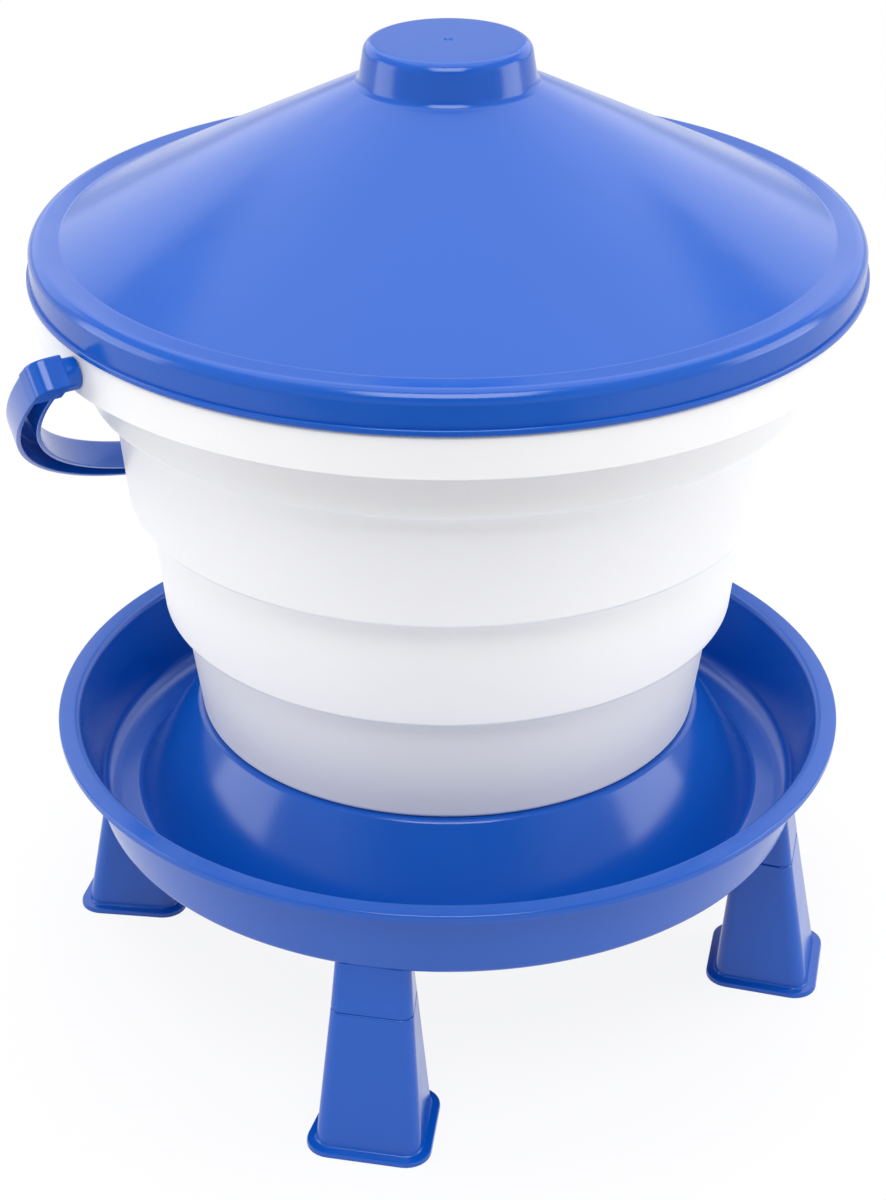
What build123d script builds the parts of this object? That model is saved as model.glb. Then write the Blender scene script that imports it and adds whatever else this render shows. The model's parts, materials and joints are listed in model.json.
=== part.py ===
from build123d import *
import os
from math import cos, hypot, radians, sin

os.makedirs("parts", exist_ok=True)

# Poultry drinker: a white stepped bucket stands on a blue drinking tray with four plug-in legs. A blue cone
# lid closes the bucket air-tight, and a valve in its base lets water down until the tray is full enough.
# Millimetres, Z up, floor at zero, bucket on the Z axis. The handle turns about a line along X.

# Bucket, in four bands that each stand out by a ledge from the one below, and a hollow collar round the mouth
bucket_wall = 2.2
base_radius = 125.6
band_1_height = 60.0
band_1_flare = 8.4
ledge_1 = 8.0
band_2_height = 60.0
band_2_flare = 6.0
ledge_2 = 8.8
band_3_height = 62.5
band_3_flare = 6.2
ledge_3 = 11.0
band_4_height = 31.0
band_4_flare = 3.2
mouth_lean = 0.8
collar_width = 19.0
collar_band = 20.0
collar_step_in = 2.8
neck_height = 14.7
band_round = 3.0
band_inside_round = 1.0
mouth_round = 2.5
collar_round = 1.5
collar_edge_round = 0.3

# Tray, built out from the seat that carries the bucket
tray_wall = 2.5
tray_depth = 47.0
seat_rise = 4.0
seat_margin = 2.4
cone_run = 32.0
trough_width = 18.2
trough_lean = 11.3
rim_width = 10.5
lip_depth = 4.0
well_radius = 34.0
water_below_rim = 18.0
trench_width = 20.0
trench_spread_deg = 20.0
rim_edge_round = 1.2
rim_inner_round = 3.5
trough_round = 10.0
trough_under_round = 4.0
cone_foot_round = 4.0
seat_round = 3.0
well_edge_round = 1.5
well_foot_round = 2.0

# Legs, each on a diagonal of the tray, with their lengths taken along that diagonal
leg_height = 74.0
leg_wall = 2.5
socket_height = 25.0
socket_overhang = 1.8
socket_length = 21.4
socket_inner_width = 31.0
socket_outer_width = 39.0
socket_corner = 5.5
seam_flare = 4.0
seam_length = 30.0
seam_inner_width = 34.0
seam_outer_width = 42.0
seam_corner = 6.0
foot_flare = 13.0
foot_length = 49.4
foot_inner_width = 46.0
foot_outer_width = 54.0
foot_corner = 8.0
foot_flange = 4.5
foot_thickness = 3.0
spigot_height = 20.0
spigot_clearance = 0.3
spigot_wall = 2.0

# Lid and its seal
lid_wall = 2.5
lid_clearance = 0.3
hem_gap = 0.4
hem_proud = 1.5
hem_height = 3.0
shoulder_width = 15.0
shoulder_round = 6.0
cone_edge_round = 3.0
knob_foot_radius = 41.4
knob_foot_rise = 69.5
knob_foot_round = 5.0
knob_taper = 2.9
knob_height = 18.4
knob_round = 5.5
seal_thickness = 2.4
seal_width = 7.0
seal_margin = 0.4

# Handle
boss_length = 7.0
lug_width = 15.5
lug_half_length = 8.0
bail_flattening = 7.5
bail_thickness = 12.0
bail_depth = 15.0
bail_web = 2.2
bail_rest_gap = 0.3
pin_radius = 4.5
pin_clearance = 0.05
boss_radius = 7.5
boss_gap = 0.5
head_radius = 6.0
head_thickness = 3.0
head_gap = 0.5

# Valve
spout_radius = 12.0
spout_wall = 4.0
spout_clearance = 0.2
flange_width = 8.0
flange_thickness = 3.0
gasket_thickness = 2.0
nut_width = 7.0
nut_height = 6.0
guide_height = 6.0
guide_wall = 2.4
guide_rise = 3.0
rib_width = 2.5
stem_radius = 3.0
stem_clearance = 0.1
valve_lift = 6.0
valve_travel = 8.0
valve_gap = 0.3
button_margin = 1.8
button_height = 3.0
washer_overlap = 4.0
washer_thickness = 2.0
washer_neck_width = 1.0
washer_lip = 0.8
washer_lip_height = 1.0
poppet_margin = 1.0
poppet_thickness = 2.5
peg_radius = 4.0

# Depth by which the parts of one moulding run into each other, so that they join
joined_depth = 1.0

# Radii that follow from the sizes
band_1_top_radius = base_radius + band_1_flare
band_2_radius = band_1_top_radius + ledge_1
band_2_top_radius = band_2_radius + band_2_flare
band_3_radius = band_2_top_radius + ledge_2
band_3_top_radius = band_3_radius + band_3_flare
band_4_radius = band_3_top_radius + ledge_3
band_4_top_radius = band_4_radius + band_4_flare
mouth_radius = band_4_top_radius + mouth_lean
collar_radius = mouth_radius + collar_width
neck_radius = collar_radius - collar_step_in
seat_radius = base_radius + seat_margin
cone_foot_radius = seat_radius + cone_run
trough_foot_radius = cone_foot_radius + trough_width
rim_inner_radius = trough_foot_radius + trough_lean
tray_radius = rim_inner_radius + rim_width
socket_outer = trough_foot_radius + socket_overhang
seam_outer = socket_outer + seam_flare
foot_outer = seam_outer + foot_flare
lid_inner_radius = neck_radius + lid_clearance
lid_radius = lid_inner_radius + lid_wall
lid_cone_radius = lid_radius - shoulder_width
knob_radius = knob_foot_radius - knob_taper
seal_radius = lid_radius - shoulder_round - seal_margin
bail_half_width = collar_radius + boss_length + lug_width
bail_reach = bail_half_width - bail_flattening
outlet_radius = spout_radius + spout_clearance
bore_radius = spout_radius - spout_wall
flange_radius = spout_radius + flange_width
nut_radius = spout_radius + nut_width
guide_bore = stem_radius + stem_clearance
button_radius = stem_radius + button_margin
washer_neck_radius = stem_radius + washer_neck_width
washer_radius = bore_radius + washer_overlap
poppet_radius = washer_radius + poppet_margin

# Levels that follow from the sizes
tray_bottom = leg_height + socket_height
rim_level = tray_bottom + tray_depth
floor_level = tray_bottom + tray_wall
seat_level = rim_level + seat_rise
band_1_top = seat_level + band_1_height
band_2_top = band_1_top + band_2_height
band_3_top = band_2_top + band_3_height
collar_bottom = band_3_top + band_4_height
collar_step = collar_bottom + collar_band
mouth_level = collar_step + neck_height
hinge_level = collar_bottom + collar_band / 2
water_level = rim_level - water_below_rim


def moulded_wall(corners, wall):
    """Draw the section of a wall of even thickness, which lies on the left of a line of corners.

    Each corner is its radius and height, then its rounding on the line and on the wall's other side.
    """
    points = [Vector(x, z) for x, z, near, far in corners]
    runs = [(end - start).normalized() for start, end in zip(points, points[1:])]
    sides = [Vector(-run.Y, run.X) for run in runs]
    other = [points[0] + sides[0] * wall]
    for point, before, after in zip(points[1:], sides, sides[1:]):
        other.append(point + (before + after) * (wall / (1 + before.dot(after))))
    other.append(points[-1] + sides[-1] * wall)
    near_rounds = [near for x, z, near, far in corners]
    far_rounds = [far for x, z, near, far in corners]
    FilletPolyline(points + other[::-1], radius=near_rounds + far_rounds[::-1], close=True)


# Tray: rim with a lip turned down, trough, cone, seat and well
tray_corners = [
    (tray_radius, rim_level - lip_depth, 0, 0),
    (tray_radius, rim_level, rim_edge_round, 0),
    (rim_inner_radius, rim_level, rim_inner_round, max(rim_inner_round - tray_wall, 0)),
    (trough_foot_radius, floor_level, trough_round, trough_under_round),
    (cone_foot_radius, floor_level, cone_foot_round, cone_foot_round + tray_wall),
    (seat_radius, seat_level, seat_round, max(seat_round - tray_wall, 0)),
    (well_radius, seat_level, well_edge_round, 0),
    (well_radius, floor_level, well_foot_round, well_foot_round + tray_wall),
    (0, floor_level, 0, 0),
]
trench_angles = (90 - trench_spread_deg, 90 + trench_spread_deg)
leg_angles = {"front_left": -135, "front_right": -45, "back_left": 135, "back_right": 45}
leg_levels = [
    (0, foot_outer, foot_length, foot_inner_width, foot_outer_width, foot_corner),
    (leg_height, seam_outer, seam_length, seam_inner_width, seam_outer_width, seam_corner),
    (tray_bottom, socket_outer, socket_length, socket_inner_width, socket_outer_width, socket_corner),
]


def leg_section(angle, level, grow=0):
    """Give a leg's or its socket's rounded outline at a level, grown all round by an amount."""
    lower, upper = leg_levels[:2] if level <= leg_height else leg_levels[1:]
    share = (level - lower[0]) / (upper[0] - lower[0])
    outer, length, inner_width, outer_width, corner = (a + share * (b - a) for a, b in zip(lower[1:], upper[1:]))
    with BuildSketch(Plane.XY.offset(level).rotated((0, 0, angle))) as section:
        Polygon(
            (outer - length, -inner_width / 2),
            (outer, -outer_width / 2),
            (outer, outer_width / 2),
            (outer - length, inner_width / 2),
            align=None,
        )
        if grow:
            offset(amount=grow, kind=Kind.INTERSECTION)
        fillet(section.vertices(), corner + grow)
    return section.sketch


with BuildPart() as trench_walls:
    # A solid hub, half a wall inside the tray's own surface, cut down to the blocks that carry the trenches
    inset = tray_wall / 2
    with BuildSketch(Plane.XZ):
        Polygon(
            (well_radius + inset, tray_bottom),
            (cone_foot_radius, tray_bottom),
            (cone_foot_radius, floor_level - inset),
            (seat_radius - inset, seat_level - inset),
            (well_radius + inset, seat_level - inset),
            align=None,
        )
    revolve(axis=Axis.Z)
    with BuildSketch(Plane.XY.offset(tray_bottom)):
        for angle in trench_angles:
            with Locations(Location((0, 0, 0), (0, 0, angle))):
                Rectangle(cone_foot_radius, trench_width + 2 * tray_wall, align=(Align.MIN, Align.CENTER))
    extrude(amount=seat_level - tray_bottom, mode=Mode.INTERSECT)

socket_top = tray_bottom + tray_wall / 2
with BuildPart() as tray:
    with BuildSketch(Plane.XZ):
        with BuildLine():
            moulded_wall(tray_corners, tray_wall)
        make_face()
    revolve(axis=Axis.Z)
    add(trench_walls.part)
    with BuildSketch(Plane.XY.offset(floor_level)):
        for angle in trench_angles:
            with Locations(Location((0, 0, 0), (0, 0, angle))):
                Rectangle(cone_foot_radius, trench_width, align=(Align.MIN, Align.CENTER))
    extrude(amount=seat_rise + tray_depth, mode=Mode.SUBTRACT)
    for angle in leg_angles.values():
        loft([leg_section(angle, leg_height), leg_section(angle, socket_top)])
        hollow = [leg_section(angle, level, -leg_wall) for level in (leg_height, tray_bottom)]
        loft(hollow, mode=Mode.SUBTRACT)
    # Peg in the middle of the well, which holds the valve open
    guide_bottom = water_level + guide_rise
    button_top = guide_bottom - valve_travel - valve_gap
    button_bottom = button_top - button_height
    with BuildSketch(Plane.XY.offset(socket_top)):
        Circle(peg_radius)
    extrude(amount=button_bottom - valve_gap - socket_top)
tray.part.label = "tray"
export_step(tray.part, "parts/tray.step")

# Legs: flared and hollow, with a flange round the foot and a spigot that plugs into the tray's socket
spigot_top = leg_height + spigot_height
spigot_inset = -leg_wall - spigot_clearance
bore_inset = spigot_inset - spigot_wall
shoulder_bottom = leg_height - leg_wall
for name, angle in leg_angles.items():
    with BuildPart() as leg:
        loft([leg_section(angle, level) for level in (0, leg_height)])
        extrude(leg_section(angle, 0, foot_flange), amount=foot_thickness)
        loft([leg_section(angle, level, spigot_inset) for level in (leg_height, spigot_top)])
        leg_hollow = [leg_section(angle, level, -leg_wall) for level in (0, shoulder_bottom)]
        loft(leg_hollow, mode=Mode.SUBTRACT)
        spigot_bore = [leg_section(angle, level, bore_inset) for level in (shoulder_bottom, spigot_top)]
        loft(spigot_bore, mode=Mode.SUBTRACT)
    leg.part.label = f"leg_{name}"
    export_step(leg.part, f"parts/leg_{name}.step")

# Bucket: base, bands and collar
neck_inside = neck_radius - bucket_wall
collar_inside = collar_radius - bucket_wall
step_round = collar_step_in - 2 * collar_edge_round
bucket_corners = [
    (outlet_radius, seat_level, 0, 0),
    (base_radius, seat_level, band_round, band_inside_round),
    (band_1_top_radius, band_1_top, band_inside_round, band_round),
    (band_2_radius, band_1_top, band_round, band_inside_round),
    (band_2_top_radius, band_2_top, band_inside_round, band_round),
    (band_3_radius, band_2_top, band_round, band_inside_round),
    (band_3_top_radius, band_3_top, band_inside_round, band_round),
    (band_4_radius, band_3_top, band_round, band_inside_round),
    (band_4_top_radius, collar_bottom, 0, 0),
    (mouth_radius, mouth_level - bucket_wall, band_inside_round, mouth_round),
    (neck_inside, mouth_level - bucket_wall, collar_edge_round, mouth_round),
    (neck_inside, collar_step - bucket_wall, step_round, collar_edge_round),
    (collar_inside, collar_step - bucket_wall, collar_edge_round, collar_round),
    (collar_inside, collar_bottom, 0, 0),
]
with BuildPart() as bucket:
    with BuildSketch(Plane.XZ):
        with BuildLine():
            moulded_wall(bucket_corners, bucket_wall)
        make_face()
    revolve(axis=Axis.Z)
    for side in (1, -1):
        with BuildSketch(Plane.YZ.offset(side * collar_radius)):
            with Locations((0, hinge_level)):
                Circle(pin_radius + pin_clearance)
        extrude(amount=side * 2 * bucket_wall, both=True, mode=Mode.SUBTRACT)
bucket.part.label = "bucket"
export_step(bucket.part, "parts/bucket.step")

# Lid: skirt with a hem bead, rounded shoulder, cone and hollow knob
hem_level = collar_step + hem_gap
shoulder_level = mouth_level + seal_thickness + lid_wall
knob_foot_level = shoulder_level + knob_foot_rise
lid_top = knob_foot_level + knob_height
lid_corners = [
    (lid_radius, hem_level, 0, 0),
    (lid_radius, shoulder_level, shoulder_round, max(shoulder_round - lid_wall, 0)),
    (lid_cone_radius, shoulder_level, cone_edge_round, cone_edge_round + lid_wall),
    (knob_foot_radius, knob_foot_level, knob_foot_round, knob_foot_round + lid_wall),
    (knob_radius, lid_top, knob_round, max(knob_round - lid_wall, 0)),
    (0, lid_top, 0, 0),
]
with BuildPart() as lid:
    with BuildSketch(Plane.XZ):
        with BuildLine():
            moulded_wall(lid_corners, lid_wall)
        make_face()
    revolve(axis=Axis.Z)
    with BuildSketch(Plane.XZ) as bead:
        with Locations((lid_radius - lid_wall / 2, hem_level)):
            Rectangle(hem_proud + lid_wall / 2, hem_height, align=Align.MIN)
        fillet(bead.vertices().group_by(Axis.X)[-1], hem_proud / 2)
    revolve(axis=Axis.Z)
lid.part.label = "lid"
export_step(lid.part, "parts/lid.step")

with BuildPart() as lid_seal:
    with BuildSketch(Plane.XY.offset(mouth_level)):
        Circle(seal_radius)
        Circle(seal_radius - seal_width, mode=Mode.SUBTRACT)
    extrude(amount=seal_thickness)
lid_seal.part.label = "lid_seal"
export_step(lid_seal.part, "parts/lid_seal.step")


# Handle: an arch of channel section, open on its underside, that leans down against the bucket
def bucket_radius(level):
    """Outer radius of the bucket's bands at a level."""
    for (low_radius, low, *_), (high_radius, high, *_) in zip(bucket_corners, bucket_corners[1:]):
        if low <= level < high:
            return low_radius + (high_radius - low_radius) * (level - low) / (high - low)
    return 0


def rest_gap(lean):
    """Least space between the bucket and the arch's inner lower edge, leaned down by an angle."""
    gaps = []
    for turn in range(10, 91):
        across = (bail_half_width - bail_thickness) * cos(radians(turn))
        along = (bail_reach - bail_thickness) * sin(radians(turn))
        out = along * cos(radians(lean)) - bail_depth / 2 * sin(radians(lean))
        level = hinge_level - along * sin(radians(lean)) - bail_depth / 2 * cos(radians(lean))
        gaps.append(hypot(across, out) - bucket_radius(level))
    return min(gaps)


bail_lean, steepest_lean = 10.0, 80.0
while steepest_lean - bail_lean > 0.001:
    middle_lean = (bail_lean + steepest_lean) / 2
    if rest_gap(middle_lean) > bail_rest_gap:
        bail_lean = middle_lean
    else:
        steepest_lean = middle_lean

bail_up = (0, sin(radians(bail_lean)), cos(radians(bail_lean)))
bail_plane = Plane(origin=(0, 0, hinge_level), x_dir=(1, 0, 0), z_dir=bail_up)
half_turn = 180


def arch(plane, inset):
    """Give the flat arch between its outer and inner curves, each moved into the wall by an inset."""
    outer = bail_half_width - inset
    inner = bail_half_width - bail_thickness + inset
    inner_reach = bail_reach - bail_thickness + inset
    with BuildSketch(plane) as section:
        with BuildLine():
            EllipticalCenterArc((0, 0), outer, bail_reach - inset, start_angle=0, arc_size=half_turn)
            EllipticalCenterArc((0, 0), inner, inner_reach, start_angle=0, arc_size=half_turn)
            Line((inner, 0), (outer, 0))
            Line((-outer, 0), (-inner, 0))
        make_face()
    return section.sketch


with BuildPart() as bail:
    extrude(arch(bail_plane, 0), amount=bail_depth / 2, both=True)
    channel = arch(bail_plane.offset(-bail_depth / 2), bail_web)
    extrude(channel, amount=bail_depth - bail_web, mode=Mode.SUBTRACT)
    lug_inner = bail_half_width - lug_width
    boss_start = collar_radius + boss_gap
    head_end = collar_radius - bucket_wall - head_gap
    for side in (1, -1):
        with BuildSketch(bail_plane) as lug:
            with Locations((side * (bail_half_width - lug_width / 2), 0)):
                Rectangle(lug_width, 2 * lug_half_length)
            outer_corner = lug.vertices().group_by(Axis.Y)[0].sort_by(Axis.X)[-1 if side > 0 else 0]
            fillet(outer_corner, lug_half_length)
        extrude(amount=bail_depth / 2, both=True)
        for radius, start, end in (
            (boss_radius, boss_start, lug_inner + joined_depth),
            (pin_radius, head_end - joined_depth, boss_start + joined_depth),
            (head_radius, head_end - head_thickness, head_end),
        ):
            with BuildSketch(Plane.YZ.offset(side * start)):
                with Locations((0, hinge_level)):
                    Circle(radius)
            extrude(amount=side * (end - start))
bail.part.label = "bail"
export_step(bail.part, "parts/bail.step")

# Valve: spout through the bucket's base, its gasket and nut, and a poppet that the peg holds up
base_top = seat_level + bucket_wall
flange_bottom = base_top + gasket_thickness
flange_top = flange_bottom + flange_thickness
with BuildPart() as valve_body:
    with BuildSketch(Plane.XY.offset(water_level)):
        Circle(spout_radius)
    extrude(amount=flange_top - water_level)
    with BuildSketch(Plane.XY.offset(flange_bottom)):
        Circle(flange_radius)
    extrude(amount=flange_thickness)
    with BuildSketch(Plane.XY.offset(water_level)):
        Circle(bore_radius)
    extrude(amount=flange_top - water_level, mode=Mode.SUBTRACT)
    with BuildSketch(Plane.XY.offset(guide_bottom)):
        Circle(guide_bore + guide_wall)
        Rectangle(2 * bore_radius + joined_depth, rib_width)
        Circle(guide_bore, mode=Mode.SUBTRACT)
    extrude(amount=guide_height)
valve_body.part.label = "valve_body"
export_step(valve_body.part, "parts/valve_body.step")

with BuildPart() as valve_gasket:
    with BuildSketch(Plane.XY.offset(base_top)):
        Circle(flange_radius)
        Circle(outlet_radius, mode=Mode.SUBTRACT)
    extrude(amount=gasket_thickness)
valve_gasket.part.label = "valve_gasket"
export_step(valve_gasket.part, "parts/valve_gasket.step")

with BuildPart() as valve_nut:
    with BuildSketch(Plane.XY.offset(seat_level - nut_height)):
        RegularPolygon(nut_radius, side_count=6)
        Circle(outlet_radius, mode=Mode.SUBTRACT)
    extrude(amount=nut_height)
valve_nut.part.label = "valve_nut"
export_step(valve_nut.part, "parts/valve_nut.step")

washer_bottom = flange_top + valve_lift
washer_top = washer_bottom + washer_thickness
with BuildPart() as valve_plunger:
    with BuildSketch(Plane.XZ):
        Polygon(
            (0, button_bottom),
            (button_radius, button_bottom),
            (button_radius, button_top),
            (stem_radius, button_top),
            (stem_radius, washer_bottom - washer_lip_height),
            (washer_neck_radius + washer_lip, washer_bottom - washer_lip_height),
            (washer_neck_radius + washer_lip, washer_bottom),
            (washer_neck_radius, washer_bottom),
            (washer_neck_radius, washer_top),
            (poppet_radius, washer_top),
            (poppet_radius, washer_top + poppet_thickness),
            (0, washer_top + poppet_thickness),
            align=None,
        )
    revolve(axis=Axis.Z)
valve_plunger.part.label = "valve_plunger"
export_step(valve_plunger.part, "parts/valve_plunger.step")

with BuildPart() as plunger_seal:
    with BuildSketch(Plane.XY.offset(washer_bottom)):
        Circle(washer_radius)
        Circle(washer_neck_radius + stem_clearance, mode=Mode.SUBTRACT)
    extrude(amount=washer_thickness)
plunger_seal.part.label = "plunger_seal"
export_step(plunger_seal.part, "parts/plunger_seal.step")
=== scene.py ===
"""Poultry drinker in injection-moulded polypropylene: a white stepped bucket with a blue cone lid and a
swinging channel handle stands on a blue drinking tray with four plug-in legs. Lengths are in millimetres,
and MM turns them into metres."""

import json
import math

import bmesh
import bpy
from mathutils import Matrix, Vector


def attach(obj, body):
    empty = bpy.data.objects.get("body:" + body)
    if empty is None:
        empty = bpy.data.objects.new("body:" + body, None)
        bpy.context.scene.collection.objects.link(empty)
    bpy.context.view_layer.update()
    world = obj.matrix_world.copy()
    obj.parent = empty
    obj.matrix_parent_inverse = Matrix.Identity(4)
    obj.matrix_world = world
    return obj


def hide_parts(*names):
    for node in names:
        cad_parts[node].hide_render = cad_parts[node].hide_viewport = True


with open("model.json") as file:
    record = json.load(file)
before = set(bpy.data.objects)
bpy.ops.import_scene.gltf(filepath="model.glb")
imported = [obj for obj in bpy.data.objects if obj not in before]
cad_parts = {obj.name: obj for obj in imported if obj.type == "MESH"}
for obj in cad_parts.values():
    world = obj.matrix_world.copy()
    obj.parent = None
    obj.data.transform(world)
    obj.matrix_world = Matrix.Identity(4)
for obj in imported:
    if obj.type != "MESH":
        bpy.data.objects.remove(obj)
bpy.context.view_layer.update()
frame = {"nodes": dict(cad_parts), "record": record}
MM = 0.001

# Tray
TRAY_WALL = 2.5
TRAY_RADIUS, RIM_LEVEL, RIM_WIDTH, LIP_DEPTH = 200.0, 146.0, 10.5, 4.0
TRAY_BOTTOM = 99.0
FLOOR_LEVEL = TRAY_BOTTOM + TRAY_WALL
TROUGH_FOOT, CONE_FOOT, SEAT_RADIUS, SEAT_LEVEL = 178.2, 160.0, 128.0, 150.0
WELL_RADIUS, PEG_RADIUS, PEG_TOP = 34.0, 4.0, 119.4
TRENCH_WIDTH, TRENCH_ANGLES = 20.0, (70, 110)

# Legs: level, inner and outer edge, half widths there and corner rounding
FOOT = (0.0, 147.6, 197.0, 23.0, 27.0, 8.0)
SEAM_LEVEL = 74.0
SEAM = (SEAM_LEVEL, 154.0, 184.0, 17.0, 21.0, 6.0)
SOCKET = (99.0, 158.6, 180.0, 15.5, 19.5, 5.5)
LEG_ANGLES = {"front_left": -135, "front_right": -45, "back_left": 135, "back_right": 45}
LEG_WALL, FOOT_FLANGE, FOOT_THICKNESS = 2.5, 4.5, 3.0
SPIGOT_TOP, SPIGOT_GROW, SPIGOT_WALL = 94.0, -2.8, 2.0
SOCKET_TOP = 100.2
LEG_MIDDLE, SOCKET_MIDDLE, LEAST_ROUNDING = 38.0, 86.0, 1.0
# Softened edge on both sides of the seam: distance from it and growth there
SEAM_EDGE = ((1.1, 0.0), (0.4, -0.2), (0.0, -0.8))

# Bucket and lid
BUCKET_WALL = 2.2
BANDS = ((125.6, 150.0, 134.0, 210.0), (142.0, 210.0, 148.0, 270.0), (156.8, 270.0, 163.0, 332.5))
TOP_BAND = (174.0, 332.5, 177.2, 363.5)
OUTLET_RADIUS = 12.2
COLLAR_RADIUS, COLLAR_STEP, NECK_RADIUS = 197.0, 383.5, 194.2
MOUTH_LEVEL, MOUTH_RADIUS = 398.2, 178.0
LID_WALL = 2.5
LID_RADIUS, HEM_LEVEL, HEM_PROUD, HEM_HEIGHT = 197.0, 383.9, 1.5, 3.0
SHOULDER_LEVEL, SHOULDER_ROUND, LID_CONE_RADIUS = 403.1, 6.0, 182.0
KNOB_FOOT_RADIUS, KNOB_FOOT_LEVEL, KNOB_RADIUS, LID_TOP, KNOB_ROUND = 41.4, 472.6, 38.5, 491.0, 5.5
GATE_RADIUS, GATE_FLOOR_RADIUS, GATE_DEPTH = 2.6, 2.2, 0.5

# Handle
HINGE_LEVEL, BAIL_LEAN = 373.5, 41.4928
BAIL_HALF_WIDTH, BAIL_REACH, BAIL_THICKNESS, BAIL_DEPTH, BAIL_WEB = 219.5, 212.0, 12.0, 15.0, 2.2
LUG_WIDTH, LUG_HALF_LENGTH = 15.5, 8.0
BOSS_RADIUS, PIN_RADIUS, HEAD_RADIUS, HEAD_THICKNESS = 7.5, 4.5, 6.0, 3.0
BOSS_START, HEAD_END = 197.5, 194.3
PIN_GAP, PIN_HOLE_DEPTH = 0.05, 8.0

# How far one form of a moulding runs into the next, and how far a cutter runs past what it cuts
OVERLAP, CUT_PAST = 1.0, 10.0

# Fineness of the meshes
TURN_STEPS, HUB_STEPS, PEG_STEPS, PIN_STEPS, ARCH_STEPS = 240, 120, 32, 48, 120
WIDE_ROUNDING, WIDE_ARC_STEPS, ARC_STEPS, LEG_ARC_STEPS, LUG_ARC_STEPS = 4.0, 9, 5, 8, 10
SMALLEST_ROUNDING, SAME_PLACE = 0.01, 1e-7
SHARP_ANGLE = math.radians(38)
TO_X_AXIS = Matrix.Rotation(math.pi / 2, 4, "Y")

# Sizes of the patterns in the plastics. The orange peel is drawn coarser than it is, so that it shows.
COLOUR_DRIFT, ORANGE_PEEL, SINK_MARKS, SCUFFS = 60 * MM, 2.2 * MM, 35 * MM, 25 * MM


# Materials

def linear(hex_colour):
    """Turn an sRGB hex colour into linear RGBA."""
    channels = [int(hex_colour[i:i + 2], 16) / 255 for i in (1, 3, 5)]
    return [c / 12.92 if c <= 0.04045 else ((c + 0.055) / 1.055) ** 2.4 for c in channels] + [1.0]


def add(tree, kind, settings=None, links=None):
    """Add a node, set its properties or input values by name, and link its inputs from sockets."""
    node = tree.nodes.new(kind)
    for name, value in (settings or {}).items():
        if isinstance(name, str) and hasattr(node, name):
            setattr(node, name, value)
        else:
            node.inputs[name].default_value = value
    for name, socket in (links or {}).items():
        tree.links.new(socket, node.inputs[name])
    return node


def new_material(name):
    """Start an empty node material and give its tree and its output node."""
    material = bpy.data.materials.new(name)
    material.use_nodes = True
    material.node_tree.nodes.clear()
    return material, material.node_tree, add(material.node_tree, "ShaderNodeOutputMaterial")


def moulded_plastic(name, colour, pale, roughness, scuffing, ior):
    """A moulded plastic: slow drift of colour, fine orange peel, faint sink marks and dulled patches."""
    material, tree, output = new_material(name)
    place = add(tree, "ShaderNodeTexCoord").outputs["Object"]
    drift = add(tree, "ShaderNodeTexNoise", {"Scale": 1 / COLOUR_DRIFT, "Detail": 3.0}, {"Vector": place})
    tint = add(tree, "ShaderNodeMix", {"data_type": "RGBA"}, {"Factor": drift.outputs["Fac"]})
    tint.inputs["A"].default_value = linear(colour)
    tint.inputs["B"].default_value = linear(pale)
    peel = add(tree, "ShaderNodeTexNoise", {"Scale": 1 / ORANGE_PEEL, "Detail": 2.0}, {"Vector": place})
    sink = add(tree, "ShaderNodeTexNoise", {"Scale": 1 / SINK_MARKS, "Detail": 1.0}, {"Vector": place})
    scuff = add(tree, "ShaderNodeTexNoise", {"Scale": 1 / SCUFFS, "Detail": 2.0}, {"Vector": place})
    dull = add(tree, "ShaderNodeMapRange",
               {"From Min": 0.35, "From Max": 0.75, "To Min": roughness, "To Max": roughness + scuffing},
               {"Value": scuff.outputs["Fac"]})
    wave = add(tree, "ShaderNodeBump", {"Strength": 0.12, "Distance": 0.12 * MM},
               {"Height": sink.outputs["Fac"]})
    grain = add(tree, "ShaderNodeBump", {"Strength": 0.03, "Distance": 0.02 * MM},
                {"Height": peel.outputs["Fac"], "Normal": wave.outputs["Normal"]})
    shader = add(tree, "ShaderNodeBsdfPrincipled", {"IOR": ior},
                 {"Base Color": tint.outputs["Result"], "Roughness": dull.outputs["Result"],
                  "Normal": grain.outputs["Normal"]})
    tree.links.new(shader.outputs["BSDF"], output.inputs["Surface"])
    return material


MATERIALS = {
    # Polypropylene, gloss mould: saturated blue that goes pale only where it mirrors the surroundings
    "blue_plastic": moulded_plastic("moulded_polypropylene_blue", "#0450B2", "#0754B8", 0.16, 0.06, 1.49),
    # Polypropylene, gloss mould: clean opaque white
    "white_plastic": moulded_plastic("moulded_polypropylene_white", "#EEEEEF", "#F0F0F1", 0.3, 0.03, 1.49),
    # Acetal valve parts: satin black
    "valve_plastic": moulded_plastic("moulded_acetal_black", "#161618", "#1D1D20", 0.4, 0.1, 1.48),
    # Nitrile rubber: dull black
    "seal_rubber": moulded_plastic("moulded_nitrile_rubber", "#0E0E0E", "#151515", 0.65, 0.1, 1.52),
}


# Mesh tools

def fillet(before, corner, after, radius, steps):
    """Points of the arc that rounds a corner, or the corner itself where it has no rounding."""
    if radius < SMALLEST_ROUNDING:
        return [corner]
    to_before, to_after = (before - corner).normalized(), (after - corner).normalized()
    half = to_before.angle(to_after) / 2
    centre = corner + (to_before + to_after).normalized() * (radius / math.sin(half))
    start = corner + to_before * (radius / math.tan(half)) - centre
    end = corner + to_after * (radius / math.tan(half)) - centre
    turn = start.angle(end)
    shares = [i / steps for i in range(steps + 1)]
    return [centre + (start * math.sin(turn * (1 - share)) + end * math.sin(turn * share)) / math.sin(turn)
            for share in shares]


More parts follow.
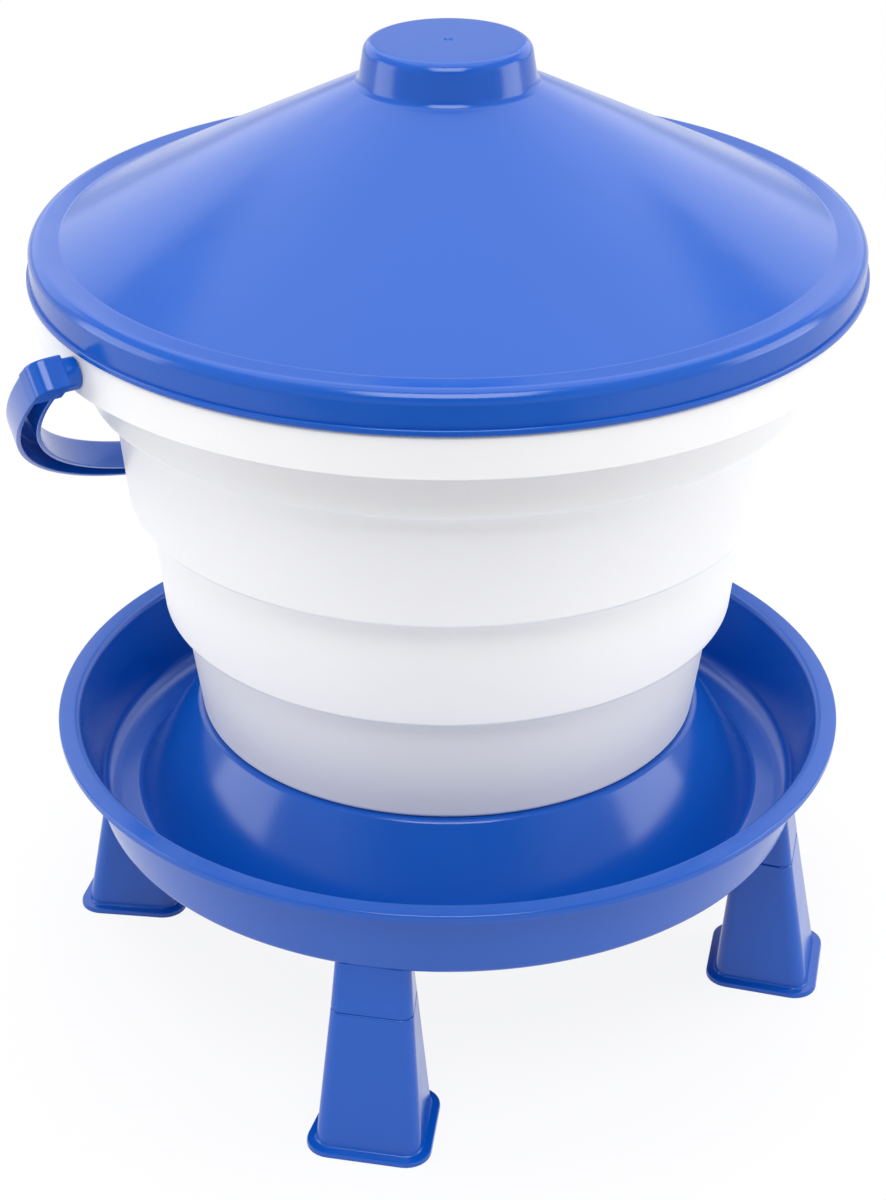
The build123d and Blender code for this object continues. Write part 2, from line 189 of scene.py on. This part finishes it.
def rounded(corners, steps=None):
    """Closed outline through rounded corners, each given as x, y and rounding."""
    points = [Vector((x, y)) for x, y, rounding in corners]
    outline = []
    for i, (x, y, rounding) in enumerate(corners):
        count = steps or (WIDE_ARC_STEPS if rounding > WIDE_ROUNDING else ARC_STEPS)
        outline += fillet(points[i - 1], points[i], points[(i + 1) % len(points)], rounding, count)
    return outline


def moulded_wall(corners, wall):
    """Outline of a wall of even thickness on the left of a line of corners (x, z, near and far rounding)."""
    points = [Vector(corner[:2]) for corner in corners]
    runs = [(end - start).normalized() for start, end in zip(points, points[1:])]
    sides = [Vector((-run.y, run.x)) for run in runs]
    far = [points[0] + sides[0] * wall]
    for point, before, after in zip(points[1:], sides, sides[1:]):
        far.append(point + (before + after) * (wall / (1 + before.dot(after))))
    far.append(points[-1] + sides[-1] * wall)
    near_side = [(x, z, near) for x, z, near, other in corners]
    far_side = [(point.x, point.y, corner[3]) for point, corner in zip(far, corners)]
    return rounded(near_side + far_side[::-1])


def lathe(bm, outline, steps=TURN_STEPS):
    """Turn a closed outline about the Z axis. A side on the axis is left open, and its ends are poles."""
    verts = [bm.verts.new((point.x * MM, 0, point.y * MM)) for point in outline]
    edges = []
    for a, b in zip(verts, verts[1:] + verts[:1]):
        if a.co.x > SAME_PLACE or b.co.x > SAME_PLACE:
            edges.append(bm.edges.new((a, b)))
    bmesh.ops.spin(bm, geom=verts + edges, cent=(0, 0, 0), axis=(0, 0, 1), angle=math.tau, steps=steps,
                   use_merge=True)
    bmesh.ops.remove_doubles(bm, verts=bm.verts, dist=SAME_PLACE)


def closed_edges(bm, verts):
    """Edges that join vertices into a ring."""
    return [bm.edges.new((a, b)) for a, b in zip(verts, verts[1:] + verts[:1])]


def skin(bm, loops):
    """Bridge a ring of closed loops, the last one back to the first, into one closed skin."""
    rings = [closed_edges(bm, [bm.verts.new(point) for point in loop]) for loop in loops]
    for lower, upper in zip(rings, rings[1:] + rings[:1]):
        bmesh.ops.bridge_loops(bm, edges=lower + upper)


def pin(bm, side, radius, start, end):
    """A round pin along X between two distances from the middle, on one side of the drinker."""
    middle = Matrix.Translation((side * (start + end) / 2 * MM, 0, HINGE_LEVEL * MM))
    bmesh.ops.create_cone(bm, cap_ends=True, segments=PIN_STEPS, radius1=radius * MM, radius2=radius * MM,
                          depth=(end - start) * MM, matrix=middle @ TO_X_AXIS)


def linked_object(bm, name):
    """Turn a bmesh into a mesh object of the scene."""
    mesh = bpy.data.meshes.new(name)
    bm.to_mesh(mesh)
    bm.free()
    made = bpy.data.objects.new(name, mesh)
    bpy.context.scene.collection.objects.link(made)
    return made


def plain_object(bm, name):
    """A bare object that faces outwards, such as the floor or a form that a piece is cut from."""
    bmesh.ops.recalc_face_normals(bm, faces=bm.faces)
    return linked_object(bm, name)


def mesh_of(shell):
    """Take the finished mesh of a cut object, and delete the object."""
    bm = bmesh.new()
    bm.from_mesh(shell.data)
    bpy.data.objects.remove(shell)
    return bm


def cut(target, cutter, operation):
    """Apply one exact boolean to a mesh object and delete the cutter."""
    step = target.modifiers.new("cut", "BOOLEAN")
    step.operation, step.solver, step.object = operation, "EXACT", cutter
    depsgraph = bpy.context.evaluated_depsgraph_get()
    result = bpy.data.meshes.new_from_object(target.evaluated_get(depsgraph))
    target.modifiers.clear()
    target.data = result
    bpy.data.objects.remove(cutter)


def piece(name, bm, slot, stands_for, body="root"):
    """Make a finished piece: smooth faces with sharp edges kept, its material and its body, and hide the CAD
    node it stands for.
    """
    bmesh.ops.recalc_face_normals(bm, faces=bm.faces)
    for face in bm.faces:
        face.smooth = True
    for edge in bm.edges:
        if len(edge.link_faces) == 2 and edge.calc_face_angle() > SHARP_ANGLE:
            edge.smooth = False
    made = linked_object(bm, name)
    weighted = made.modifiers.new("weighted_normals", "WEIGHTED_NORMAL")
    weighted.keep_sharp = True
    made.data.materials.append(MATERIALS[slot])
    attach(made, body)
    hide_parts(stands_for)


# Legs and their sockets

def leg_loop(angle, level, grow):
    """Rounded outline of a leg or socket at a level, grown all round, turned to its diagonal."""
    low, high = (FOOT, SEAM) if level <= SEAM_LEVEL else (SEAM, SOCKET)
    share = (level - low[0]) / (high[0] - low[0])
    inner, outer, inner_half, outer_half, corner = (a + share * (b - a) for a, b in zip(low[1:], high[1:]))
    inner, outer = inner - grow, outer + grow
    slant = (outer_half - inner_half) / (outer - inner)
    inner_half, outer_half = inner_half + grow * (1 - slant), outer_half + grow * (1 + slant)
    corner = max(corner + grow, LEAST_ROUNDING)
    outline = rounded([(inner, -inner_half, corner), (outer, -outer_half, corner),
                       (outer, outer_half, corner), (inner, inner_half, corner)], LEG_ARC_STEPS)
    turn = Matrix.Rotation(math.radians(angle), 3, "Z")
    return [turn @ Vector((point.x, point.y, level)) * MM for point in outline]


def add_skin(bm, angle, stations):
    """Skin a leg or socket through its stations, each a level and a growth."""
    skin(bm, [leg_loop(angle, level, grow) for level, grow in stations])


BORE_GROW = SPIGOT_GROW - SPIGOT_WALL
# Up the outside of the foot's flange, the leg and its spigot, and back down the bore
LEG_STATIONS = [
    (0, FOOT_FLANGE - 0.7), (0.25, FOOT_FLANGE - 0.2), (0.8, FOOT_FLANGE),
    (FOOT_THICKNESS - 0.8, FOOT_FLANGE), (FOOT_THICKNESS - 0.25, FOOT_FLANGE - 0.2),
    (FOOT_THICKNESS, FOOT_FLANGE - 0.8), (FOOT_THICKNESS, 1.2), (FOOT_THICKNESS + 0.35, 0.4),
    (FOOT_THICKNESS + 1.2, 0), (LEG_MIDDLE, 0), *((SEAM_LEVEL - away, grow) for away, grow in SEAM_EDGE),
    (SEAM_LEVEL, SPIGOT_GROW), (SPIGOT_TOP - 1, SPIGOT_GROW), (SPIGOT_TOP, SPIGOT_GROW - 0.8),
    (SPIGOT_TOP, BORE_GROW), (SEAM_LEVEL - LEG_WALL, BORE_GROW), (SEAM_LEVEL - LEG_WALL, -LEG_WALL),
    (LEG_MIDDLE, -LEG_WALL), (0.5, -LEG_WALL), (0, 0.5 - LEG_WALL),
]
# Down the outside of a socket to the seam, and back up its inside
SOCKET_STATIONS = [
    (SOCKET_TOP, 0), (SOCKET_MIDDLE, 0), *((SEAM_LEVEL + away, grow) for away, grow in SEAM_EDGE),
    (SEAM_LEVEL, 0.4 - LEG_WALL), (SEAM_LEVEL + 0.4, -LEG_WALL), (SOCKET_TOP, -LEG_WALL),
]
for leg_name, leg_angle in LEG_ANGLES.items():
    leg_mesh = bmesh.new()
    add_skin(leg_mesh, leg_angle, LEG_STATIONS)
    piece(f"moulded_leg_{leg_name}", leg_mesh, "blue_plastic", f"leg_{leg_name}")


# Tray

def turned_box(low, high, angle, name):
    """A box between two corners, turned about Z."""
    bm = bmesh.new()
    size = [b - a for a, b in zip(low, high)]
    middle = [(a + b) / 2 for a, b in zip(low, high)]
    place = Matrix.Rotation(math.radians(angle), 4, "Z") @ Matrix.Translation(Vector(middle) * MM)
    bmesh.ops.create_cube(bm, size=MM, matrix=place @ Matrix.Diagonal((*size, 1)))
    return plain_object(bm, name)


def cut_trench(shell, angle):
    """Cut a water channel through the seat's cone, with walls of its own below the cone."""
    half, half_wall = TRENCH_WIDTH / 2, TRAY_WALL / 2
    hub = bmesh.new()
    lathe(hub, rounded([
        (WELL_RADIUS + half_wall, TRAY_BOTTOM, 0), (CONE_FOOT, TRAY_BOTTOM, 0),
        (CONE_FOOT, FLOOR_LEVEL - half_wall, 0), (SEAT_RADIUS - half_wall, SEAT_LEVEL - half_wall, 0),
        (WELL_RADIUS + half_wall, SEAT_LEVEL - half_wall, 0),
    ]), HUB_STEPS)
    block = turned_box((0, -half - TRAY_WALL, TRAY_BOTTOM), (CONE_FOOT, half + TRAY_WALL, SEAT_LEVEL), angle,
                       "trench_block")
    cut(block, plain_object(hub, "hub_form"), "INTERSECT")
    cut(shell, block, "UNION")
    slot_box = turned_box((0, -half, FLOOR_LEVEL), (CONE_FOOT, half, SEAT_LEVEL + CUT_PAST), angle,
                          "trench_slot")
    cut(shell, slot_box, "DIFFERENCE")


tray_turned = bmesh.new()
lathe(tray_turned, moulded_wall([
    (TRAY_RADIUS, RIM_LEVEL - LIP_DEPTH, 0.5, 0.5),
    (TRAY_RADIUS, RIM_LEVEL, 1.2, 0),
    (TRAY_RADIUS - RIM_WIDTH, RIM_LEVEL, 3.5, 1.0),
    (TROUGH_FOOT, FLOOR_LEVEL, 10.0, 4.0),
    (CONE_FOOT, FLOOR_LEVEL, 4.0, 6.5),
    (SEAT_RADIUS, SEAT_LEVEL, 3.0, 0.5),
    (WELL_RADIUS, SEAT_LEVEL, 1.5, 0),
    (WELL_RADIUS, FLOOR_LEVEL, 2.0, 4.5),
    (0, FLOOR_LEVEL, 0, 0),
], TRAY_WALL))
tray_shell = plain_object(tray_turned, "tray_shell")
for trench_angle in TRENCH_ANGLES:
    cut_trench(tray_shell, trench_angle)
tray_mesh = mesh_of(tray_shell)
for leg_angle in LEG_ANGLES.values():
    add_skin(tray_mesh, leg_angle, SOCKET_STATIONS)
lathe(tray_mesh, rounded([
    (0, FLOOR_LEVEL - OVERLAP, 0), (PEG_RADIUS, FLOOR_LEVEL - OVERLAP, 0), (PEG_RADIUS, PEG_TOP, 0.6),
    (0, PEG_TOP, 0),
]), PEG_STEPS)
piece("moulded_tray", tray_mesh, "blue_plastic", "tray")


# Bucket

def bucket_corners():
    """Outer line of the bucket from its outlet to the collar's lower edge."""
    corners = [(OUTLET_RADIUS, BANDS[0][1], 0, 0)]
    for low_radius, low, high_radius, high in (*BANDS, TOP_BAND):
        corners += [(low_radius, low, 3.0, 1.0), (high_radius, high, 1.0, 3.0)]
    corners[-1] = (*corners[-1][:2], 0, 0)
    inner = NECK_RADIUS - BUCKET_WALL
    skirt = COLLAR_RADIUS - BUCKET_WALL
    return corners + [
        (MOUTH_RADIUS, MOUTH_LEVEL - BUCKET_WALL, 1.0, 2.5),
        (inner, MOUTH_LEVEL - BUCKET_WALL, 0.3, 2.5),
        (inner, COLLAR_STEP - BUCKET_WALL, 2.5, 0.3),
        (skirt, COLLAR_STEP - BUCKET_WALL, 0.3, 1.5),
        (skirt, TOP_BAND[3], 0.6, 0.6),
    ]


bucket_turned = bmesh.new()
lathe(bucket_turned, moulded_wall(bucket_corners(), BUCKET_WALL))
bucket_shell = plain_object(bucket_turned, "bucket_shell")
for side in (1, -1):
    hole = bmesh.new()
    pin(hole, side, PIN_RADIUS + PIN_GAP, COLLAR_RADIUS - PIN_HOLE_DEPTH / 2,
        COLLAR_RADIUS + PIN_HOLE_DEPTH / 2)
    cut(bucket_shell, plain_object(hole, "pin_hole"), "DIFFERENCE")
piece("moulded_bucket", mesh_of(bucket_shell), "white_plastic", "bucket")

# Lid, with the shallow mark of its injection point in the middle of the knob
lid_mesh = bmesh.new()
lathe(lid_mesh, moulded_wall([
    (LID_RADIUS, HEM_LEVEL, 0, 0),
    (LID_RADIUS, SHOULDER_LEVEL, SHOULDER_ROUND, SHOULDER_ROUND - LID_WALL),
    (LID_CONE_RADIUS, SHOULDER_LEVEL, 3.0, 5.5),
    (KNOB_FOOT_RADIUS, KNOB_FOOT_LEVEL, 5.0, 7.5),
    (KNOB_RADIUS, LID_TOP, KNOB_ROUND, KNOB_ROUND - LID_WALL),
    (GATE_RADIUS, LID_TOP, 0.3, 0),
    (GATE_FLOOR_RADIUS, LID_TOP - GATE_DEPTH, 0.2, 0),
    (0, LID_TOP - GATE_DEPTH, 0, 0),
], LID_WALL))
lathe(lid_mesh, rounded([
    (LID_RADIUS - LID_WALL / 2, HEM_LEVEL, 0),
    (LID_RADIUS + HEM_PROUD, HEM_LEVEL, HEM_PROUD / 2),
    (LID_RADIUS + HEM_PROUD, HEM_LEVEL + HEM_HEIGHT, HEM_PROUD / 2),
    (LID_RADIUS - LID_WALL / 2, HEM_LEVEL + HEM_HEIGHT, 0),
]))
piece("moulded_lid", lid_mesh, "blue_plastic", "lid")


# Handle

HALF_DEPTH = BAIL_DEPTH / 2
# A lug's top and bottom lie a hair inside the arch's, so that no two faces share a plane
LUG_TOP = HALF_DEPTH - 0.06
# Levels up a lug and its size there, smaller where its edges are softened
LUG_STATIONS = (
    (-LUG_TOP, 0.96), (-LUG_TOP + 0.5, 1), (LUG_TOP - 1, 1), (LUG_TOP - 0.3, 0.985), (LUG_TOP, 0.95),
)


def add_arch(bm):
    """A channel turned through a half circle about the arch's middle and flattened to its reach."""
    outer, inner = BAIL_HALF_WIDTH, BAIL_HALF_WIDTH - BAIL_THICKNESS
    channel = rounded([
        (outer, -HALF_DEPTH, 0.4), (outer, HALF_DEPTH, 2.0), (inner, HALF_DEPTH, 2.0),
        (inner, -HALF_DEPTH, 0.4), (inner + BAIL_WEB, -HALF_DEPTH, 0.4),
        (inner + BAIL_WEB, HALF_DEPTH - BAIL_WEB, 0.8), (outer - BAIL_WEB, HALF_DEPTH - BAIL_WEB, 0.8),
        (outer - BAIL_WEB, -HALF_DEPTH, 0.4),
    ])
    section = bm.faces.new([bm.verts.new((point.x * MM, 0, point.y * MM)) for point in channel])
    bmesh.ops.spin(bm, geom=[section], cent=(0, 0, 0), axis=(0, 0, 1), angle=math.pi, steps=ARCH_STEPS)
    bmesh.ops.scale(bm, vec=(1, BAIL_REACH / BAIL_HALF_WIDTH, 1), verts=bm.verts)


def add_lug(bm, side):
    """The solid lug at one end of the arch, with softened edges."""
    outer, inner = side * BAIL_HALF_WIDTH, side * (BAIL_HALF_WIDTH - LUG_WIDTH)
    outline = rounded([(outer, -LUG_HALF_LENGTH, LUG_HALF_LENGTH), (outer, LUG_HALF_LENGTH, 0.4),
                       (inner, LUG_HALF_LENGTH, 0.8), (inner, -LUG_HALF_LENGTH, 0.8)], LUG_ARC_STEPS)
    middle = Vector(((outer + inner) / 2, 0))
    rims = []
    for level, size in LUG_STATIONS:
        places = [middle + (point - middle) * size for point in outline]
        rims.append([bm.verts.new((place.x * MM, place.y * MM, level * MM)) for place in places])
    rings = [closed_edges(bm, rim) for rim in rims]
    for lower, upper in zip(rings, rings[1:]):
        bmesh.ops.bridge_loops(bm, edges=lower + upper)
    bm.faces.new(rims[0])
    bm.faces.new(rims[-1])


bail_mesh = bmesh.new()
add_arch(bail_mesh)
for side in (1, -1):
    add_lug(bail_mesh, side)
bail_turn = Matrix.Rotation(math.radians(-BAIL_LEAN), 4, "X")
bail_place = Matrix.Translation((0, 0, HINGE_LEVEL * MM)) @ bail_turn
bmesh.ops.transform(bail_mesh, matrix=bail_place, verts=bail_mesh.verts)
for side in (1, -1):
    pin(bail_mesh, side, BOSS_RADIUS, BOSS_START, BAIL_HALF_WIDTH - LUG_WIDTH + OVERLAP)
    pin(bail_mesh, side, PIN_RADIUS, HEAD_END - OVERLAP, BOSS_START + OVERLAP)
    pin(bail_mesh, side, HEAD_RADIUS, HEAD_END - HEAD_THICKNESS, HEAD_END)
piece("moulded_bail", bail_mesh, "blue_plastic", "bail", body="bail")

# The pieces inside keep their CAD solids
slots = {part["node"]: part["material_slot"] for part in frame["record"]["subparts"]}
for node_name in ("lid_seal", "valve_body", "valve_gasket", "valve_nut", "valve_plunger", "plunger_seal"):
    for material_slot in frame["nodes"][node_name].material_slots:
        material_slot.material = MATERIALS[slots[node_name]]


# Stage, light and camera

CAMERA_TURN, CAMERA_PITCH, CAMERA_YAW = 33.5, 28.63, -0.112
turn_angle = math.radians(CAMERA_TURN)
TO_CAMERA = (-math.sin(turn_angle), -math.cos(turn_angle), 0)
BEHIND_CAMERA = (Vector(TO_CAMERA) + Vector((0, 0, 0.9))).normalized()


def floor_material():
    """Matt white paper. The camera sees it near white, so that only the object's soft shadow shows, and it
    is pure white where it meets the room."""
    material, tree, output = new_material("studio_floor_paper")
    diffuse = add(tree, "ShaderNodeBsdfDiffuse", {"Color": linear("#EDEDF0")})
    glow = add(tree, "ShaderNodeEmission", {"Color": linear("#FFFFFF"), "Strength": 1.0})
    path = add(tree, "ShaderNodeLightPath")
    seen = add(tree, "ShaderNodeMath", {"operation": "MAXIMUM"},
               {0: path.outputs["Is Camera Ray"], 1: path.outputs["Is Glossy Ray"]})
    place = add(tree, "ShaderNodeTexCoord").outputs["Object"]
    reach = add(tree, "ShaderNodeVectorMath", {"operation": "LENGTH"}, {0: place})
    clean = add(tree, "ShaderNodeMapRange",
                {"From Min": 0.6, "From Max": 1.8, "To Min": 0.88, "To Max": 1.0},
                {"Value": reach.outputs["Value"]})
    share = add(tree, "ShaderNodeMath", {"operation": "MULTIPLY"},
                {0: seen.outputs[0], 1: clean.outputs["Result"]})
    mixed = add(tree, "ShaderNodeMixShader", {},
                {0: share.outputs[0], 1: diffuse.outputs[0], 2: glow.outputs[0]})
    tree.links.new(mixed.outputs[0], output.inputs["Surface"])
    return material


# A sheet, in metres, that ends a little way before the drinker, where the camera looks over its edge
SHEET, SHEET_FRONT = 6.0, 0.85
floor_mesh = bmesh.new()
bmesh.ops.create_grid(floor_mesh, x_segments=1, y_segments=1, size=SHEET,
                      matrix=Matrix.Translation(Vector(TO_CAMERA) * (SHEET_FRONT - SHEET))
                      @ Matrix.Rotation(-turn_angle, 4, "Z"))
floor = plain_object(floor_mesh, "studio_floor")
floor.data.materials.append(floor_material())


def light_room():
    """White for the camera. It lights the object softly, less from low down and from behind the camera."""
    world = bpy.data.worlds.new("studio")
    bpy.context.scene.world = world
    world.use_nodes = True
    tree = world.node_tree
    tree.nodes.clear()
    path = add(tree, "ShaderNodeLightPath")
    direction = add(tree, "ShaderNodeTexCoord").outputs["Generated"]
    height = add(tree, "ShaderNodeSeparateXYZ", {}, {"Vector": direction}).outputs["Z"]
    low_down = add(tree, "ShaderNodeMapRange",
                   {"From Min": -0.45, "From Max": -0.15, "To Min": 0.15, "To Max": 0.7}, {"Value": height})
    ahead = add(tree, "ShaderNodeVectorMath", {"operation": "DOT_PRODUCT", 1: BEHIND_CAMERA}, {0: direction})
    front = add(tree, "ShaderNodeMapRange",
                {"From Min": 0.75, "From Max": 0.95, "To Min": 1.0, "To Max": 0.25},
                {"Value": ahead.outputs["Value"]})
    strength = add(tree, "ShaderNodeMath", {"operation": "MULTIPLY"},
                   {0: low_down.outputs["Result"], 1: front.outputs["Result"]})
    room = add(tree, "ShaderNodeBackground", {"Color": linear("#FFFFFF")}, {"Strength": strength.outputs[0]})
    white = add(tree, "ShaderNodeBackground", {"Color": linear("#FFFFFF"), "Strength": 1.0})
    sky = add(tree, "ShaderNodeMixShader", {},
              {0: path.outputs["Is Camera Ray"], 1: room.outputs[0], 2: white.outputs[0]})
    add(tree, "ShaderNodeOutputWorld", {}, {"Surface": sky.outputs[0]})


def softbox(name, place, aim, width, height, power):
    """A rectangular area lamp that looks at a point and isn't seen itself, in metres and watts."""
    lamp = bpy.data.lights.new(name, "AREA")
    lamp.shape = "RECTANGLE"
    lamp.size, lamp.size_y = width, height
    lamp.energy = power
    made = bpy.data.objects.new(name, lamp)
    made.location = place
    made.rotation_euler = (Vector(aim) - Vector(place)).to_track_quat("-Z", "Y").to_euler()
    made.visible_camera = False
    bpy.context.scene.collection.objects.link(made)


light_room()
softbox("overhead_softbox", (0.5, 0.75, 2.4), (0, 0, 0.4), 2.6, 2.6, 24)
softbox("front_high_softbox", (-0.69, -1.04, 2.23), (0, 0, 0.3), 1.4, 1.2, 32)
softbox("back_left_softbox", (-0.13, 1.6, 0.95), (0, 0, 0.4), 1.4, 0.8, 2.8)
softbox("back_right_softbox", (1.52, 0.51, 0.95), (0, 0, 0.4), 1.4, 0.8, 2.8)
softbox("left_softbox", (-1.47, 0.97, 0.6), (0, 0, 0.3), 1.0, 1.1, 8.5)
softbox("right_softbox", (1.47, -0.97, 0.6), (0, 0, 0.3), 1.0, 1.1, 10)

# The camera stands where the photograph was taken from
CAMERA_DISTANCE, CAMERA_HEIGHT = 1179.8 * MM, 844.0 * MM
FOCAL_PIXELS, PHOTO_HEIGHT, SENSOR = 2642.6, 1200, 36.0
camera_data = bpy.data.cameras.new("camera")
camera_data.sensor_fit = "VERTICAL"
camera_data.sensor_height = SENSOR
camera_data.lens = FOCAL_PIXELS / PHOTO_HEIGHT * SENSOR
camera = bpy.data.objects.new("camera", camera_data)
camera.location = Vector(TO_CAMERA) * CAMERA_DISTANCE + Vector((0, 0, CAMERA_HEIGHT))
camera.rotation_euler = (math.radians(90 - CAMERA_PITCH), 0, -math.radians(CAMERA_TURN + CAMERA_YAW))
bpy.context.scene.collection.objects.link(camera)
bpy.context.scene.camera = camera
bpy.context.scene.view_settings.view_transform = "Standard"
